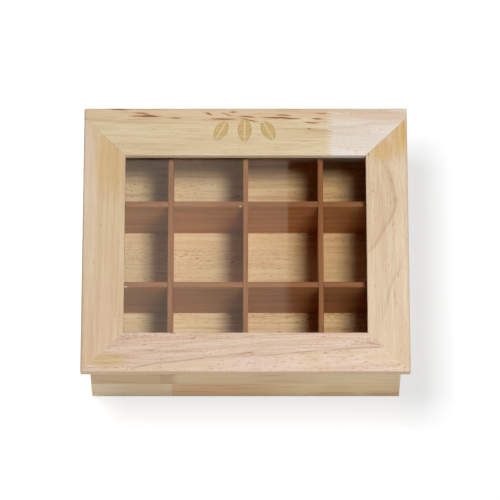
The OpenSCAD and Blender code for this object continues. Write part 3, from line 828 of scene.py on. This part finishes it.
def make_world():
    """Even white to the eye, and a faint even light on the object."""
    world = bpy.data.worlds.new("studio")
    bpy.context.scene.world = world
    world.use_nodes = True
    tree = world.node_tree
    tree.nodes.clear()
    out = tree.nodes.new("ShaderNodeOutputWorld")
    mix = tree.nodes.new("ShaderNodeMixShader")
    path = tree.nodes.new("ShaderNodeLightPath")
    soft = tree.nodes.new("ShaderNodeBackground")
    soft.inputs["Color"].default_value = (*AMBIENT_TINT, 1.0)
    soft.inputs["Strength"].default_value = AMBIENT
    white = tree.nodes.new("ShaderNodeBackground")
    white.inputs["Strength"].default_value = 1.0
    tree.links.new(path.outputs["Is Camera Ray"], mix.inputs[0])
    tree.links.new(soft.outputs[0], mix.inputs[1])
    tree.links.new(white.outputs[0], mix.inputs[2])
    tree.links.new(mix.outputs[0], out.inputs["Surface"])


def make_floor():
    """A white floor. To the eye it is partly lit by its own glow, so that the object's shadow stays pale."""
    mesh = bpy.data.meshes.new("floor")
    corners = [(-1, -1), (1, -1), (1, 1), (-1, 1)]
    points = [(x * FLOOR_HALF, y * FLOOR_HALF, -FLOOR_DROP) for x, y in corners]
    mesh.from_pydata(points, [], [(0, 1, 2, 3)])
    floor = bpy.data.objects.new("floor", mesh)
    bpy.context.scene.collection.objects.link(floor)
    t = Tree("floor_white")
    matte = t.node("ShaderNodeBsdfDiffuse")
    t.set(matte.inputs["Color"], FLOOR_GREY)
    glow = t.node("ShaderNodeEmission")
    t.set(glow.inputs["Color"], (1.0, 1.0, 1.0))
    path = t.node("ShaderNodeLightPath")
    seen = t.math("MAXIMUM", path.outputs["Is Camera Ray"], path.outputs["Is Glossy Ray"])
    seen = t.math("MAXIMUM", seen, path.outputs["Is Transmission Ray"])
    mixed = t.node("ShaderNodeMixShader")
    t.set(mixed.inputs[0], t.mul(seen, FLOOR_GLOW))
    t.set(mixed.inputs[1], matte.outputs[0])
    t.set(mixed.inputs[2], glow.outputs[0])
    mesh.materials.append(t.finish(mixed))
    return floor


# The lamps that light the object, and the one that lights the floor: place and size in metres, and watts
OBJECT_LAMPS = {
    "key": ((0.67, -0.25, 2.27), (0.62, 0.60), 43.0),
    "side_fill": ((0.90, -1.45, 1.63), (0.80, 0.80), 4.5),
    "front_fill": ((0.23, -2.08, 1.02), (1.00, 0.70), 9.5),
    "rear_fill": ((-1.30, 1.40, 1.35), (1.20, 1.00), 7.0),
}
FLOOR_LAMP = ((-1.15, 0.30, 3.3), (2.0, 1.4), 192.0)
LAMPS_AIM = Vector((0.0, 0.0, 80.0 * MM))


def area_light(name, place, size, watts, lit):
    """A soft lamp, aimed at the box, that lights only the objects in lit."""
    data = bpy.data.lights.new(name, "AREA")
    data.shape = "RECTANGLE"
    data.size, data.size_y = size
    data.energy = watts
    lamp = bpy.data.objects.new(name, data)
    bpy.context.scene.collection.objects.link(lamp)
    lamp.location = place
    lamp.rotation_mode = "QUATERNION"
    lamp.rotation_quaternion = (LAMPS_AIM - Vector(place)).to_track_quat("-Z", "Y")
    lamp.visible_camera = False
    group = bpy.data.collections.new("lit_by_" + name)
    for item in lit:
        group.objects.link(item)
    lamp.light_linking.receiver_collection = group


def make_lights(floor):
    for name, lamp in OBJECT_LAMPS.items():
        area_light(name, *lamp, nodes.values())
    area_light("floor_light", *FLOOR_LAMP, [floor])


# What the pane mirrors in the photograph's view: a pale card on the left that fades towards its right end,
# where a dark card begins. CARD_EDGE is where the two meet as seen in the pane, and the other places are in
# the cards' own plane, in metres
CARD_AWAY = 2.0
CARD_EDGE = 41.4 * MM
CARD_LEFT, CARD_RIGHT = -0.9, 0.5
CARD_HALF = 0.5
CARD_TINT = (1.0, 0.85, 0.68)
CARD_BRIGHT = 1.25
CARD_BRIGHT_AT_EDGE = 0.85
CARD_FADE = (-0.12, 0.03)


def make_cards():
    """Cards where the pane mirrors them in the photograph's view. Only mirror rays meet them."""
    up = math.radians(LOOK_DOWN)
    away = Vector((0.0, math.cos(up), math.sin(up)))
    middle = Vector((0.0, 0.0, LID_TOP)) + away * CARD_AWAY
    across = Vector((1.0, 0.0, 0.0))
    side = away.cross(across)
    edge = CARD_EDGE * (1 + CARD_AWAY / CAMERA_AWAY)
    for name, start, end, left_glow, right_glow in (
        ("pale_card", CARD_LEFT, edge, CARD_BRIGHT, CARD_BRIGHT_AT_EDGE),
        ("dark_card", edge, CARD_RIGHT, 0.0, 0.0),
    ):
        mesh = bpy.data.meshes.new(name)
        ring = [(start, -CARD_HALF), (end, -CARD_HALF), (end, CARD_HALF), (start, CARD_HALF)]
        mesh.from_pydata([middle + across * a + side * b for a, b in ring], [], [(0, 1, 2, 3)])
        card = bpy.data.objects.new(name, mesh)
        bpy.context.scene.collection.objects.link(card)
        t = Tree(name + "_paint")
        glow = t.node("ShaderNodeEmission")
        t.set(glow.inputs["Color"], CARD_TINT)
        split = t.node("ShaderNodeSeparateXYZ")
        t.set(split.inputs[0], t.node("ShaderNodeTexCoord").outputs["Object"])
        t.set(glow.inputs["Strength"], t.fade(split.outputs[0], *CARD_FADE, left_glow, right_glow))
        mesh.materials.append(t.finish(glow))
        for ray in ("visible_camera", "visible_diffuse", "visible_transmission", "visible_shadow"):
            setattr(card, ray, False)


bpy.context.scene.view_settings.view_transform = "Standard"
make_camera()
make_lid_woods()
make_box_woods()
make_pane()
make_metals()
make_world()
ground = make_floor()
make_lights(ground)
make_cards()
